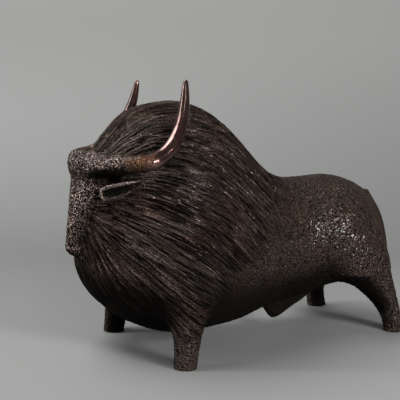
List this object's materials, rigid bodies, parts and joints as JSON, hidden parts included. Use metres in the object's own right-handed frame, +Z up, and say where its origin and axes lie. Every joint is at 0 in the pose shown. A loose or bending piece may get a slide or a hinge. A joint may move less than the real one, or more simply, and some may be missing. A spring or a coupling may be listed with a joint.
{
  "type": "bronze bull sculpture",
  "caption": "Standing bronze bull with a high domed hump, low-hung chest, flat face, raised horns and short legs, for display on a flat surface.",
  "frame": {"origin": "centre of the bounding box in X and Y, at the level of the soles", "axes": "+Z up; the bull looks along -X, its left side is -Y, and its length runs along X"},
  "size_m": [0.5172, 0.2424, 0.35],
  "materials": {
    "patina": "dark brown patina over bronze, satin",
    "polished": "bronze polished through the patina",
    "bare": "bare bronze, as cast or drawn"
  },
  "bodies": {
    "root": {"neck_sleeve": "bare", "neck_pin_1": "bare", "neck_pin_2": "bare", "neck_pin_3": "bare", "neck_pin_4": "bare", "waist_sleeve": "bare", "waist_pin_1": "bare", "waist_pin_2": "bare", "waist_pin_3": "bare", "waist_pin_4": "bare", "left_fore_leg": "patina", "left_fore_leg_pin": "bare", "right_fore_leg": "patina", "right_fore_leg_pin": "bare", "left_hind_leg": "patina", "left_hind_leg_pin": "bare", "right_hind_leg": "patina", "right_hind_leg_pin": "bare", "left_horn": "polished", "left_horn_pin": "bare", "right_horn": "polished", "right_horn_pin": "bare", "left_ear": "patina", "right_ear": "patina", "tail": "patina", "sheath": "patina", "core_plug": "patina", "head_casting": "patina", "fore_casting": "patina", "hind_casting": "patina"}
  },
  "joints": []
}
